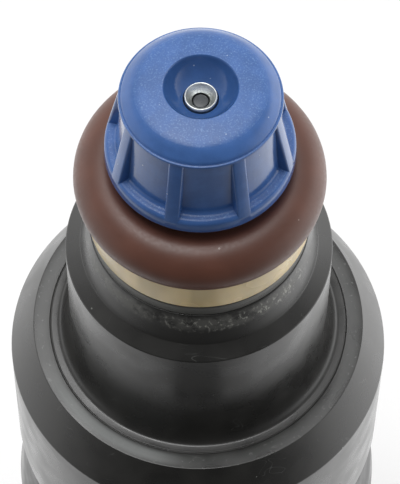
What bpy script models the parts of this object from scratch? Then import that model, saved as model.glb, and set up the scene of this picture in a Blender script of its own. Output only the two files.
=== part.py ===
"""A top-feed, pintle-type electromagnetic fuel injector.

The +Z axis is the injector's own axis and points out of the nozzle. The origin lies on that
axis in the plane of the housing's flat shoulder. The electrical connector leans out
towards -Y. Sizes below are in millimetres and become metres as each mesh is made.
"""

import math

import bmesh
import bpy
from mathutils import Matrix, Vector

MM = 0.001
GAP = 0.3  # assembly clearance between pieces that touch on the real object
SLIP = 0.07  # radial clearance of the sliding needle

# Facets round the outer pieces and round the small inner ones.
OUTER_STEPS = 32
INNER_STEPS = 24

# Steel housing
SHOULDER_Z = 0.0
NECK_R, NECK_TOP_Z, NECK_FOOT_Z = 8.0, 9.7, 3.1
SHOULDER_R, SHOULDER_FOOT_R = 10.34, 8.85
BODY_R, CHAMFER_Z, BODY_END_Z = 11.85, -2.57, -12.6
COIL_ROOM_R, COIL_ROOM_TOP_Z = 10.3, -3.0
LEDGE_R, LEDGE_Z = 4.75, -1.4
NOZZLE_BORE_R = 6.3
CRIMP_R, CRIMP_TOP_Z = 6.4, 12.66

# Nozzle body
COLLAR_R, COLLAR_TOP_Z = 6.2, 13.64
GLAND_R = 3.45
TIP_R, TIP_Z, TIP_BOSS_R, TIP_FACE_Z = 2.85, 24.7, 0.96, 26.2
GUIDE_BORE_R, ORIFICE_R, ORIFICE_Z = 2.05, 0.5, 25.6

# Manifold and rail seals: 7.5 mm inside, 3.53 mm section
RING_R, RING_SECTION_R = 5.52, 1.765
LOWER_RING_Z, UPPER_RING_Z = 17.7, -44.7
BACKING_R, BACKING_FOOT_Z, BACKING_RIM_Z = 6.57, 13.94, 15.95

# Pintle cap
CAP_TOP_Z, CAP_CROWN_R, CAP_CROWN_Z, CAP_DOME_R, CAP_DOME_Z = 27.1, 3.4, 26.95, 4.44, 26.16
CAP_EDGE_R, CAP_EDGE_Z, CAP_WALL_R, CAP_FOOT_R = 4.57, 25.9, 4.42, 4.85
CAP_HOLE_R, CAP_BOWL_Z, CAP_BOWL_R = 1.1, 27.88, 2.22
FLANGE_R, FLANGE_TOP_Z, FLANGE_RIM_Z, FLANGE_FOOT_Z = 5.45, 21.5, 20.55, 19.77
RIB_COUNT, RIB_THICK, RIB_PHASE_DEG = 8, 0.85, -17.0

# Moving needle and armature
NEEDLE_TIP_R, NEEDLE_GUIDE_R, NEEDLE_STEM_R = 0.43, GUIDE_BORE_R - SLIP, 1.5
STOP_R, STOP_Z = 2.8, 0.4
ARMATURE_R, ARMATURE_TOP_Z, ARMATURE_END_Z = 4.4, -2.0, -7.9

# Pole core and inlet tube
POLE_R, POLE_FACE_Z = 4.4, -8.2
PLATE_R, PLATE_TOP_Z, PLATE_FOOT_Z = 10.0, -10.7, -12.0
TUBE_BORE_R, FILTER_BORE_R, FILTER_STEP_Z = 2.15, 2.8, -38.5
INLET_GROOVE_R, INLET_LIP_R, INLET_END_Z = 3.5, 5.9, -50.6

# Return spring and its adjuster
SPRING_R, SPRING_WIRE_R, SPRING_TURNS = 1.5, 0.25, 9
SPRING_TOP_Z, SPRING_FOOT_Z = -6.7, -19.4
ADJUSTER_R, ADJUSTER_BORE_R, ADJUSTER_FOOT_Z = 2.0, 1.1, -33.0

# Moulded body and two-pin connector
MOULD_TOP_Z, MOULD_RIM_R, MOULD_RIM_Z = BODY_END_Z - GAP, 12.2, -21.2
MOULD_NECK_R, MOULD_END_Z = 8.0, -42.6
TERMINAL_Y, TERMINAL_PITCH, BLADE_WIDTH, BLADE_THICK = -7.4, 5.0, 2.8, 0.8
ELBOW_Z, CONNECTOR_TILT_DEG = -30.0, 20.0
BLADE_LENGTH, MOUTH_RECESS, SOCKET_DEPTH = 18.0, 5.6, 12.8
SOCKET_SIZE = (14.6, 8.4)
SOCKET_WALL = 1.3

STEEL = ("black_steel", (0.035, 0.036, 0.035), 0.38, 0.9)
BRIGHT_STEEL = ("bright_steel", (0.52, 0.52, 0.51), 0.25, 1.0)
BLUE_PLASTIC = ("blue_nylon", (0.045, 0.12, 0.36), 0.38, 0.0)
BLACK_PLASTIC = ("black_nylon", (0.016, 0.016, 0.017), 0.3, 0.0)
NATURAL_PLASTIC = ("natural_nylon", (0.42, 0.31, 0.14), 0.35, 0.0)
SEAL_RUBBER = ("brown_rubber", (0.13, 0.055, 0.035), 0.42, 0.0)
COPPER = ("copper_enamel", (0.45, 0.13, 0.04), 0.3, 0.6)
BRASS = ("brass", (0.58, 0.4, 0.13), 0.28, 1.0)
TIN = ("tinned_brass", (0.6, 0.58, 0.53), 0.3, 1.0)


def material(spec):
    """One shared Principled material for each finish."""
    name, colour, roughness, metallic = spec
    found = bpy.data.materials.get(name)
    if found:
        return found
    made = bpy.data.materials.new(name)
    made.use_nodes = True
    shader = made.node_tree.nodes["Principled BSDF"]
    shader.inputs["Base Color"].default_value = (*colour, 1.0)
    shader.inputs["Roughness"].default_value = roughness
    shader.inputs["Metallic"].default_value = metallic
    return made


def collection(name):
    made = bpy.data.collections.new(name)
    bpy.context.scene.collection.children.link(made)
    return made


def add_object(name, data, finish, owner):
    """Link new data into a collection. A shape with no finish is a cutter or a joining helper."""
    obj = bpy.data.objects.new(name, data)
    owner.objects.link(obj)
    if finish:
        data.materials.append(material(finish))
    else:
        obj.hide_render = True
        obj.display_type = "WIRE"
    return obj


def arc(centre_r, centre_z, radius, start_deg, end_deg, count):
    """Points on an arc in the (radius, z) half plane; a pair of radii makes it elliptical."""
    wide, high = radius if isinstance(radius, tuple) else (radius, radius)
    angles = [math.radians(start_deg + (end_deg - start_deg) * i / count) for i in range(count + 1)]
    return [(centre_r + wide * math.cos(a), centre_z + high * math.sin(a)) for a in angles]


def tube_profile(outer_r, inner_r, top_z, foot_z):
    return [(outer_r, top_z), (outer_r, foot_z), (inner_r, foot_z), (inner_r, top_z)]


def ring_profile(centre_r, centre_z, section_r, count):
    """A round section, drawn clockwise so that the outer side runs downwards."""
    return arc(centre_r, centre_z, section_r, 90, -270, count)[:-1]


def turned(name, profile, finish, owner, steps=OUTER_STEPS):
    """Spin a closed (radius, z) profile, in millimetres, about the Z axis."""
    mesh = bpy.data.meshes.new(name)
    points = [(radius * MM, 0.0, z * MM) for radius, z in profile]
    last = len(points) - 1
    edges = [(i, i + 1) for i in range(last)]
    if profile[0][0] > 0 or profile[-1][0] > 0:
        edges.append((last, 0))
    mesh.from_pydata(points, edges, [])
    obj = add_object(name, mesh, finish, owner)
    screw = obj.modifiers.new("Turn", "SCREW")
    screw.axis = "Z"
    screw.steps = screw.render_steps = steps
    screw.use_merge_vertices = True
    screw.merge_threshold = 1e-6
    screw.use_smooth_shade = True
    return obj


def box(name, low, high, finish, owner, parent=None):
    """A box between two corners in millimetres, in its parent's frame if it has one."""
    bm = bmesh.new()
    bmesh.ops.create_cube(bm, size=1.0)
    size = [(b - a) * MM for a, b in zip(low, high)]
    centre = [(a + b) / 2 * MM for a, b in zip(low, high)]
    bmesh.ops.scale(bm, vec=size, verts=bm.verts)
    bmesh.ops.translate(bm, vec=centre, verts=bm.verts)
    mesh = bpy.data.meshes.new(name)
    bm.to_mesh(mesh)
    bm.free()
    obj = add_object(name, mesh, finish, owner)
    obj.parent = parent
    return obj


def boolean(target, other, operation="DIFFERENCE"):
    modifier = target.modifiers.new(other.name, "BOOLEAN")
    modifier.operation = operation
    modifier.object = other
    modifier.solver = "EXACT"


def round_edges(obj, width):
    bevel = obj.modifiers.new("Round", "BEVEL")
    bevel.width = width * MM
    bevel.segments = 2
    bevel.limit_method = "ANGLE"


def as_mesh(curve_object, owner):
    """Turn a curve object into a mesh object of the same name, with its caps welded."""
    bpy.context.view_layer.update()
    evaluated = curve_object.evaluated_get(bpy.context.evaluated_depsgraph_get())
    mesh = bpy.data.meshes.new_from_object(evaluated)
    mesh.name = name = curve_object.name
    bm = bmesh.new()
    bm.from_mesh(mesh)
    bmesh.ops.remove_doubles(bm, verts=bm.verts, dist=1e-7)
    bmesh.ops.recalc_face_normals(bm, faces=bm.faces)
    bm.to_mesh(mesh)
    bm.free()
    place = curve_object.matrix_world.copy()
    hidden = curve_object.hide_render
    bpy.data.objects.remove(curve_object)
    obj = bpy.data.objects.new(name, mesh)
    owner.objects.link(obj)
    obj.matrix_world = place
    obj.hide_render = hidden
    obj.display_type = "WIRE" if hidden else "TEXTURED"
    return obj


def make_housing(parts):
    """The deep-drawn steel shell: crimped neck, shoulder, chamfer and rolled lower lip."""
    crimp = [(CRIMP_R, CRIMP_TOP_Z), (6.52, CRIMP_TOP_Z), (6.82, 11.4), (7.1, 10.25), (7.3, NECK_TOP_Z)]
    foot = arc(SHOULDER_FOOT_R, NECK_FOOT_Z, (SHOULDER_FOOT_R - NECK_R, NECK_FOOT_Z), 180, 270, 4)
    groove = [(9.2, SHOULDER_Z), (9.3, -0.15), (9.4, SHOULDER_Z)]
    lip = arc(BODY_R - 0.5, BODY_END_Z + 0.5, 0.5, 0, -90, 2)
    outside = [*crimp, (NECK_R, NECK_TOP_Z), *foot, *groove, (SHOULDER_R, SHOULDER_Z), (BODY_R, CHAMFER_Z), *lip]
    inside = [
        (PLATE_R - GAP, BODY_END_Z),
        (PLATE_R - GAP, PLATE_FOOT_Z - GAP),
        (COIL_ROOM_R, PLATE_FOOT_Z - GAP),
        (COIL_ROOM_R, COIL_ROOM_TOP_Z),
        (LEDGE_R, COIL_ROOM_TOP_Z),
        (LEDGE_R, LEDGE_Z),
        (NOZZLE_BORE_R, LEDGE_Z),
        (NOZZLE_BORE_R, 9.0),
        (CRIMP_R, 9.0),
    ]
    turned("valve_housing", outside + inside, STEEL, parts)


def make_nozzle_body(parts):
    """Collar, seal gland and tip outside; guide bore, seat cone and orifice inside."""
    outside = [
        (0.9, TIP_FACE_Z),
        (TIP_BOSS_R, TIP_FACE_Z - 0.06),
        (TIP_BOSS_R, TIP_Z),
        (TIP_R, TIP_Z),
        (TIP_R, 20.6),
        (GLAND_R, 19.4),
        (GLAND_R, COLLAR_TOP_Z),
        (COLLAR_R, COLLAR_TOP_Z),
        (COLLAR_R, 9.3),
        (6.0, 9.3),
        (6.0, 6.2),
        (5.0, 6.2),
        (5.0, 4.6),
        (6.0, 4.6),
        (6.0, 0.5),
    ]
    inside = [
        (STOP_R + 0.5, 0.5),
        (STOP_R + 0.5, 2.7),
        (GUIDE_BORE_R, 2.7),
        (GUIDE_BORE_R, 21.7),
        (ORIFICE_R, 23.85),
        (ORIFICE_R, ORIFICE_Z),
    ]
    turned("nozzle_body", outside + inside, BRIGHT_STEEL, parts, INNER_STEPS)
    turned("nozzle_seal", ring_profile(5.65, 5.4, 0.55, 8), SEAL_RUBBER, parts, INNER_STEPS)


def make_needle(parts):
    """Pintle, seat cone, two guide collars, lift stop and the stem that carries the armature."""
    profile = [
        (0.0, ORIFICE_Z),
        (NEEDLE_TIP_R, ORIFICE_Z),
        (NEEDLE_TIP_R, 25.2),
        (0.3, 24.8),
        (0.38, 23.6),
        (1.5, 22.05),
        (1.5, 21.0),
        (NEEDLE_GUIDE_R, 20.8),
        (NEEDLE_GUIDE_R, 18.6),
        (1.2, 18.2),
        (1.2, 8.4),
        (NEEDLE_GUIDE_R, 8.0),
        (NEEDLE_GUIDE_R, 4.6),
        (1.6, 4.3),
        (1.6, 2.2),
        (STOP_R, 2.2),
        (STOP_R, STOP_Z),
        (NEEDLE_STEM_R, STOP_Z),
        (NEEDLE_STEM_R, -5.6),
        (0.0, -5.6),
    ]
    turned("pintle_needle", profile, BRIGHT_STEEL, parts, INNER_STEPS)


def make_armature(parts):
    """The sleeve that the coil pulls; the return spring seats in its rear recess."""
    bore_r = NEEDLE_STEM_R + GAP / 2
    profile = [
        (ARMATURE_R, ARMATURE_TOP_Z),
        (ARMATURE_R, ARMATURE_END_Z),
        (TUBE_BORE_R, ARMATURE_END_Z),
        (TUBE_BORE_R, -6.2),
        (bore_r, -6.2),
        (bore_r, ARMATURE_TOP_Z),
    ]
    turned("armature", profile, BRIGHT_STEEL, parts, INNER_STEPS)


def make_lift_stop(parts, cutters):
    """A C-shaped plate, slotted to one side so that it slips round the needle's stem."""
    top_z, foot_z = 0.2, LEDGE_Z + GAP
    slot_half = NEEDLE_STEM_R + 0.25
    plate = turned("lift_stop_plate", tube_profile(6.0, slot_half, top_z, foot_z), BRIGHT_STEEL, parts, INNER_STEPS)
    slot = box("stop_slot", (0, -slot_half, foot_z - 1), (8, slot_half, top_z + 1), None, cutters)
    boolean(plate, slot)


def make_seals(parts):
    """The two large seals, and the backing ring whose hollow face holds the lower one."""
    for name, centre_z in (("lower_o_ring", LOWER_RING_Z), ("upper_o_ring", UPPER_RING_Z)):
        turned(name, ring_profile(RING_R, centre_z, RING_SECTION_R, 12), SEAL_RUBBER, parts)
    hollow = arc(RING_R, LOWER_RING_Z, RING_SECTION_R + 0.27, -130, -59, 4)
    profile = [(BACKING_R, BACKING_RIM_Z), (BACKING_R, BACKING_FOOT_Z), (GLAND_R + GAP, BACKING_FOOT_Z)]
    profile += [(GLAND_R + GAP, hollow[0][1])] + hollow[:-1]
    turned("backing_ring", profile, NATURAL_PLASTIC, parts)


def make_pintle_cap(parts, cutters):
    """The ribbed protective cap over the nozzle tip, with a bowl round the hole for the spray."""
    dome = arc(CAP_CROWN_R, CAP_DOME_Z, (CAP_DOME_R - CAP_CROWN_R, CAP_CROWN_Z - CAP_DOME_Z), 90, 0, 4)
    flange = arc(FLANGE_R - 0.4, FLANGE_TOP_Z - 0.4, 0.4, 90, 0, 2)
    # A spherical bowl with a crisp rim, round the hole for the spray.
    rim_deg = -math.degrees(math.asin((CAP_BOWL_Z - CAP_TOP_Z) / CAP_BOWL_R))
    hole_deg = -math.degrees(math.acos(CAP_HOLE_R / CAP_BOWL_R))
    bowl = arc(0, CAP_BOWL_Z, CAP_BOWL_R, hole_deg, rim_deg, 4)
    outside = [*dome, (CAP_EDGE_R, CAP_DOME_Z - 0.06), (CAP_EDGE_R, CAP_EDGE_Z)]
    outside += [(CAP_WALL_R, CAP_EDGE_Z - 0.15), (CAP_FOOT_R, FLANGE_TOP_Z), *flange]
    outside += [(FLANGE_R, FLANGE_RIM_Z), (FLANGE_R - 0.75, FLANGE_FOOT_Z)]
    inside = [(4.1, FLANGE_FOOT_Z), (TIP_R + GAP, 20.9), (TIP_R + GAP, TIP_Z + GAP), (CAP_HOLE_R, TIP_Z + GAP)]
    cap = turned("pintle_cap", outside + inside + bowl, BLUE_PLASTIC, parts)
    boolean(cap, make_cap_ribs(cutters), "UNION")


def make_cap_ribs(cutters):
    """Eight radial webs that flare from under the cap's edge out to the flange rim."""
    inner_r, top_z, foot_z = CAP_WALL_R - 0.3, CAP_EDGE_Z - 0.05, FLANGE_TOP_Z - 0.3
    foot_r, top_r = FLANGE_R - 0.12, CAP_EDGE_R - 0.08
    bm = bmesh.new()
    for index in range(RIB_COUNT):
        corners = bmesh.ops.create_cube(bm, size=1.0)["verts"]
        size = (foot_r - inner_r, RIB_THICK, top_z - foot_z)
        bmesh.ops.scale(bm, vec=size, verts=corners)
        bmesh.ops.translate(bm, vec=((foot_r + inner_r) / 2, 0, (top_z + foot_z) / 2), verts=corners)
        for corner in corners:
            if corner.co.x > inner_r + 0.1 and corner.co.z > foot_z + 0.1:
                corner.co.x = top_r
        turn = math.radians(RIB_PHASE_DEG - 90 + 360 / RIB_COUNT * index)
        bmesh.ops.rotate(bm, matrix=Matrix.Rotation(turn, 3, "Z"), verts=corners)
    bmesh.ops.scale(bm, vec=(MM, MM, MM), verts=bm.verts)
    mesh = bpy.data.meshes.new("cap_ribs")
    bm.to_mesh(mesh)
    bm.free()
    return add_object("cap_ribs", mesh, None, cutters)


def make_coil(parts):
    """Bobbin, winding and the two seals that keep fuel out of the winding."""
    bobbin = [(9.7, -3.3), (9.7, -4.0), (7.3, -4.0), (7.3, -5.1), (5.6, -5.1), (5.6, -8.6)]
    bobbin += [(7.3, -8.6), (7.3, -9.7), (9.7, -9.7), (9.7, -10.4), (6.9, -10.4), (6.9, -9.1)]
    bobbin += [(4.95, -9.1), (4.95, -4.6), (6.9, -4.6), (6.9, -3.3)]
    winding = [(9.3, -4.2), (9.3, -9.5), (7.5, -9.5), (7.5, -8.4)]
    winding += [(5.8, -8.4), (5.8, -5.3), (7.5, -5.3), (7.5, -4.2)]
    turned("coil_bobbin", bobbin, NATURAL_PLASTIC, parts, INNER_STEPS)
    turned("coil_winding", winding, COPPER, parts, INNER_STEPS)
    turned("front_coil_seal", ring_profile(6.2, -3.85, 0.6, 8), SEAL_RUBBER, parts, INNER_STEPS)
    turned("rear_coil_seal", ring_profile(6.2, -9.75, 0.6, 8), SEAL_RUBBER, parts, INNER_STEPS)


def make_pole_core(parts):
    """Pole face, yoke plate and inlet tube, turned as one piece, with the rail seal groove."""
    groove_top_z, groove_foot_z = MOULD_END_Z + 0.2, UPPER_RING_Z - RING_SECTION_R - 0.5
    outside = [
        (POLE_R, POLE_FACE_Z),
        (POLE_R, PLATE_TOP_Z),
        (PLATE_R, PLATE_TOP_Z),
        (PLATE_R, PLATE_FOOT_Z),
        (POLE_R, PLATE_FOOT_Z),
        (POLE_R, groove_top_z),
        (INLET_GROOVE_R, groove_top_z),
        (INLET_GROOVE_R, groove_foot_z),
        (INLET_LIP_R, groove_foot_z),
        (INLET_LIP_R, groove_foot_z - 1.3),
        (4.6, INLET_END_Z),
    ]
    inside = [
        (FILTER_BORE_R, INLET_END_Z),
        (FILTER_BORE_R, FILTER_STEP_Z),
        (TUBE_BORE_R, FILTER_STEP_Z),
        (TUBE_BORE_R, POLE_FACE_Z),
    ]
    return turned("pole_core_tube", outside + inside, BRIGHT_STEEL, parts)


def make_return_spring(parts):
    """The helical spring, a polyline wire with a few points to each turn."""
    per_turn = 10
    count = SPRING_TURNS * per_turn
    curve = bpy.data.curves.new("return_spring", "CURVE")
    curve.dimensions = "3D"
    curve.bevel_depth = SPRING_WIRE_R * MM
    curve.bevel_resolution = 2
    curve.use_fill_caps = True
    spline = curve.splines.new("POLY")
    spline.points.add(count)
    for i, point in enumerate(spline.points):
        angle = math.tau * i / per_turn
        z = SPRING_FOOT_Z + (SPRING_TOP_Z - SPRING_FOOT_Z) * i / count
        x, y = SPRING_R * math.cos(angle), SPRING_R * math.sin(angle)
        point.co = (x * MM, y * MM, z * MM, 1.0)
    add_object("return_spring", curve, BRIGHT_STEEL, parts)


def make_adjuster(parts):
    top_z = SPRING_FOOT_Z - SPRING_WIRE_R - 0.25
    profile = tube_profile(ADJUSTER_R, ADJUSTER_BORE_R, top_z, ADJUSTER_FOOT_Z)
    turned("spring_adjuster", profile, BRASS, parts, INNER_STEPS)


def make_filter(parts, cutters):
    """Brass collar, moulded cage with four bars and the woven sleeve inside the bars."""
    ring_top_z, cage_end_z, cap_z = -48.1, -39.2, -40.2
    turned("filter_collar", tube_profile(2.62, 2.1, ring_top_z - GAP, -50.3), BRASS, parts, INNER_STEPS)
    cage = turned("filter_cage", tube_profile(2.6, 1.85, -47.0, ring_top_z), NATURAL_PLASTIC, parts, INNER_STEPS)
    bars = []
    for index in range(4):
        bars.append(box(f"cage_bar_{index}", (1.9, -0.3, ring_top_z + 0.4), (2.45, 0.3, cap_z + 0.4), None, cutters))
        bars[-1].rotation_euler.z = math.tau / 4 * index
    tip = [(0.0, cage_end_z), (1.6, cage_end_z), (2.5, cap_z + 0.2), (2.5, cap_z), (0.0, cap_z)]
    bars.append(turned("cage_tip", tip, None, cutters, INNER_STEPS))
    for bar in bars:
        boolean(cage, bar, "UNION")
    turned("filter_mesh", tube_profile(1.72, 1.52, cap_z - 0.15, -46.8), BRIGHT_STEEL, parts, INNER_STEPS)


def terminal_strip(name, side, clearance, finish, owner):
    """A stamped strip: up from the coil beside the tube, then out along the connector."""
    tilt = math.radians(CONNECTOR_TILT_DEG)
    out = Vector((-math.cos(tilt), -math.sin(tilt)))
    start = Vector((TERMINAL_Y, PLATE_TOP_Z + 0.05 + clearance))
    elbow = Vector((TERMINAL_Y, ELBOW_Z))
    end = elbow + out * (BLADE_LENGTH + clearance)
    half = BLADE_THICK / 2 + clearance
    normal = Vector((-out.y, out.x))
    mitre = math.tan((math.pi / 2 - tilt) / 2) * half
    outline = [start + Vector((half, 0)), start - Vector((half, 0))]
    outline += [elbow + Vector((-half, mitre)), end - normal * half, end + normal * half]
    outline += [elbow + Vector((half, -mitre))]
    curve = bpy.data.curves.new(name, "CURVE")
    curve.dimensions = "2D"
    curve.fill_mode = "BOTH"
    curve.extrude = (BLADE_WIDTH / 2 + clearance) * MM
    spline = curve.splines.new("POLY")
    spline.points.add(len(outline) - 1)
    for point, corner in zip(spline.points, outline):
        point.co = (corner.x * MM, corner.y * MM, 0.0, 1.0)
    spline.use_cyclic_u = True
    flat = add_object(name, curve, finish, owner)
    # The outline's own x and y become the world's y and z.
    flat.rotation_euler = (math.pi / 2, 0, math.pi / 2)
    flat.location.x = side * TERMINAL_PITCH / 2 * MM
    return as_mesh(flat, owner)


def make_terminals(parts):
    for name, side in (("terminal_left", -1), ("terminal_right", 1)):
        terminal_strip(name, side, 0.0, TIN, parts)


def make_connector_body(parts, cutters, pole_core):
    """The black moulding: rim, neck, clip groove and the hollow connector leaning to -Y."""
    rim = arc(MOULD_RIM_R - 2.2, MOULD_RIM_Z - 0.3, (2.2, 2.5), 0, -90, 3)
    neck = [(MOULD_NECK_R, -24.6), (MOULD_NECK_R, -36.2), (7.9, -38.0), (6.2, -38.0), (6.2, -40.2)]
    end = [(7.0, -40.2), (7.0, MOULD_END_Z), (POLE_R + GAP, MOULD_END_Z), (POLE_R + GAP, MOULD_TOP_Z)]
    profile = [(11.3, MOULD_TOP_Z), (MOULD_RIM_R, MOULD_RIM_Z), *rim, *neck, *end]
    body = turned("connector_body", profile, BLACK_PLASTIC, parts)

    # Everything on the tower is placed in the frame of the terminals' elbow; -Y points out.
    elbow = bpy.data.objects.new("connector_axis", None)
    elbow.location = (0, TERMINAL_Y * MM, ELBOW_Z * MM)
    elbow.rotation_euler.x = math.radians(CONNECTOR_TILT_DEG)
    cutters.objects.link(elbow)

    mouth = BLADE_LENGTH + MOUTH_RECESS
    half_x, half_z = SOCKET_SIZE[0] / 2, SOCKET_SIZE[1] / 2
    outer_x, outer_z = half_x + SOCKET_WALL, half_z + SOCKET_WALL
    shell = box("tower", (-outer_x, -mouth, -outer_z), (outer_x, -1.5, outer_z), None, cutters, elbow)
    round_edges(shell, 0.5)
    spine = box("spine", (-6.6, -10.2, -36.0), (6.6, -5.0, -23.0), None, cutters)
    round_edges(spine, 1.2)
    joined = [shell, spine]
    for side in (-1, 1):
        for face in (-1, 1):
            near, far = side * (outer_x - 0.4), side * (outer_x + 0.9)
            low = (min(near, far), -mouth + 3.0, face * 2.6 - 0.6)
            high = (max(near, far), -mouth + 9.5, face * 2.6 + 0.6)
            joined.append(box(f"latch_rib_{side}_{face}", low, high, None, cutters, elbow))
    for piece in joined:
        boolean(body, piece, "UNION")

    core = turned("tube_bore", tube_profile(POLE_R + GAP, 0.0, -11.0, -44.0), None, cutters)
    socket = box("socket", (-half_x, -mouth - 1, -half_z), (half_x, -mouth + SOCKET_DEPTH, half_z), None, cutters, elbow)
    round_edges(socket, 0.6)
    for cutter in (core, socket):
        boolean(body, cutter)
    for name, side in (("left_channel", -1), ("right_channel", 1)):
        channel = terminal_strip(name, side, 0.25, None, cutters)
        boolean(body, channel)
        boolean(pole_core, channel)


def main():
    for obj in list(bpy.data.objects):
        bpy.data.objects.remove(obj, do_unlink=True)
    parts = collection("fuel_injector")
    cutters = collection("cutters")
    make_housing(parts)
    make_nozzle_body(parts)
    make_needle(parts)
    make_armature(parts)
    make_lift_stop(parts, cutters)
    make_seals(parts)
    make_pintle_cap(parts, cutters)
    make_coil(parts)
    pole_core = make_pole_core(parts)
    make_return_spring(parts)
    make_adjuster(parts)
    make_filter(parts, cutters)
    make_terminals(parts)
    make_connector_body(parts, cutters, pole_core)


main()
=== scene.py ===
"""Fine meshes, finishes and a small studio for a top-feed fuel injector.

The file is laid out as an add-on and is run as a script. Lengths in the profiles are
millimetres; the +Z axis is the injector's own axis and points out of the nozzle.
"""

import math

import bmesh
import bpy
from bpy.props import FloatProperty, FloatVectorProperty, IntProperty, PointerProperty
from mathutils import Matrix, Vector


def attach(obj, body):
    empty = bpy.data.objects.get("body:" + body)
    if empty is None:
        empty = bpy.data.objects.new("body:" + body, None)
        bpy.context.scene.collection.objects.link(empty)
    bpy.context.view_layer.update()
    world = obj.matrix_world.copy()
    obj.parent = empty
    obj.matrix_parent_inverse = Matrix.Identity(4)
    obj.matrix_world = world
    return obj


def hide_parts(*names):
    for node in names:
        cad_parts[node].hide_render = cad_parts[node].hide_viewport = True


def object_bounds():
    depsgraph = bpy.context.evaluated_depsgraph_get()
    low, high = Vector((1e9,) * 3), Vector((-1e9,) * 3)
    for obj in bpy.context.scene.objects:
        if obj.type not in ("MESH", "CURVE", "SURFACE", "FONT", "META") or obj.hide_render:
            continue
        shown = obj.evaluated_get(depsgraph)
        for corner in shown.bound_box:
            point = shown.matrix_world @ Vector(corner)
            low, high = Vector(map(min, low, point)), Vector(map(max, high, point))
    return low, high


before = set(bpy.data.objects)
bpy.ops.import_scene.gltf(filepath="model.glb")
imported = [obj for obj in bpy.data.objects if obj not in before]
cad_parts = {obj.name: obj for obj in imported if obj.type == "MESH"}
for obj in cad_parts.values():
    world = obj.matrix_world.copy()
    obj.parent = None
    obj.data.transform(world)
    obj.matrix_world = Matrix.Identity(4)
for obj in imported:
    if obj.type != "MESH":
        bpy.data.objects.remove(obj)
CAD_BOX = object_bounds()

bl_info = {
    "name": "Fuel injector pieces",
    "version": (1, 0, 0),
    "blender": (4, 5, 0),
    "location": "View3D > Sidebar > Injector",
    "description": "Builds the visible pieces, finishes and studio of a top-feed fuel injector",
    "category": "Object",
}

MM = 0.001
MAIN_BODY, NEEDLE_BODY = "injector", "needle"
SEAL_R, SEAL_SECTION_R = 5.52, 1.765
LOWER_SEAL_Z, UPPER_SEAL_Z = 17.7, -44.7
TOWER_Y, TOWER_Z = -7.4, -30.0


# ---------------------------------------------------------------- settings


class InjectorSizes(bpy.types.PropertyGroup):
    """Sizes of the fine pieces, in millimetres."""

    turn_steps: IntProperty(
        name="Facets round", description="Facets round each turned piece", default=160, min=32
    )
    neck_radius: FloatProperty(
        name="Neck radius", description="Radius of the steel neck", default=8.0, min=1.0
    )
    shoulder_radius: FloatProperty(
        name="Shoulder radius", description="Outer radius of the shoulder", default=10.34, min=1.0
    )
    cap_mouth_radius: FloatProperty(
        name="Spray bowl", description="Radius of the bowl in the cap's top", default=2.08, min=0.5
    )
    cap_hole_radius: FloatProperty(
        name="Spray hole", description="Radius of the hole at the bowl's foot", default=1.0, min=0.2
    )
    cap_edge_radius: FloatProperty(
        name="Cap edge", description="Radius of the lip under the cap's top", default=4.57, min=1.0
    )
    cap_wall_radius: FloatProperty(
        name="Cap wall", description="Radius at the top of the cap's wall", default=4.42, min=1.0
    )
    rib_count: IntProperty(name="Webs", description="Webs round the cap", default=8, min=0)
    rib_thickness: FloatProperty(
        name="Web thickness", description="Thickness of each web", default=0.85, min=0.1
    )
    rib_phase: FloatProperty(
        name="Web phase",
        description="Turn of the first web from -Y, in degrees",
        default=-17.0,
    )
    connector_tilt: FloatProperty(
        name="Connector tilt", description="Lean of the connector, in degrees", default=20.0
    )


def colour_property(name, description, default):
    """A colour setting with its default."""
    return FloatVectorProperty(
        name=name, description=description, subtype="COLOR", size=3, default=default
    )


class InjectorColours(bpy.types.PropertyGroup):
    """Base colours of the finishes."""

    cap: colour_property("Cap", "Blue nylon", (0.045, 0.118, 0.33))
    seal: colour_property("Seals", "Brown rubber", (0.105, 0.04, 0.026))
    backing: colour_property("Backing ring", "Natural nylon", (0.82, 0.65, 0.36))
    shell: colour_property("Steel shell", "Black plating", (0.013, 0.0127, 0.0115))
    moulding: colour_property("Moulding", "Black nylon", (0.008, 0.008, 0.0085))


class InjectorStudio(bpy.types.PropertyGroup):
    """Camera and light."""

    elevation: FloatProperty(
        name="Elevation", description="Camera height above the horizon, in degrees", default=60.55
    )
    distance: FloatProperty(
        name="Distance", description="Camera distance from the axis", default=0.1702, unit="LENGTH"
    )
    target_height: FloatProperty(
        name="Target height", description="Height looked at", default=0.00987, unit="LENGTH"
    )
    lens: FloatProperty(name="Lens", description="Focal length, in mm", default=211.7, min=10.0)
    roll: FloatProperty(name="Roll", description="Camera roll, in degrees", default=0.68)
    shift: FloatProperty(name="Shift", description="Sideways shift of the picture", default=0.00186)
    fill: FloatProperty(
        name="Fill", description="Strength of the surrounding light", default=1.0, min=0.0
    )
    upper: FloatProperty(
        name="Upper light", description="Light from above, round the softbox", default=0.5, min=0.0
    )
    softbox: FloatProperty(
        name="Softbox", description="Power of the overhead light, in watts", default=2.6, min=0.0
    )


# ---------------------------------------------------------------- mesh helpers


def rounded(corners, segments=5):
    """Points of a closed outline. A corner given as (radius, z, fillet) becomes an arc."""
    points = []
    for index, (radius, z, *fillet) in enumerate(corners):
        here = Vector((radius, z))
        if not fillet:
            points.append(here)
            continue
        before = (Vector(corners[index - 1][:2]) - here).normalized()
        after = (Vector(corners[(index + 1) % len(corners)][:2]) - here).normalized()
        half = before.angle(after) / 2
        reach, depth = fillet[0] / math.tan(half), fillet[0] / math.sin(half)
        centre = here + (before + after).normalized() * depth
        start, end = here + before * reach - centre, here + after * reach - centre
        swing = start.angle(end)
        for step in range(segments + 1):
            share = step / segments
            mixed = start * math.sin((1 - share) * swing) + end * math.sin(share * swing)
            points.append(centre + mixed / math.sin(swing))
    return points


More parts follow.
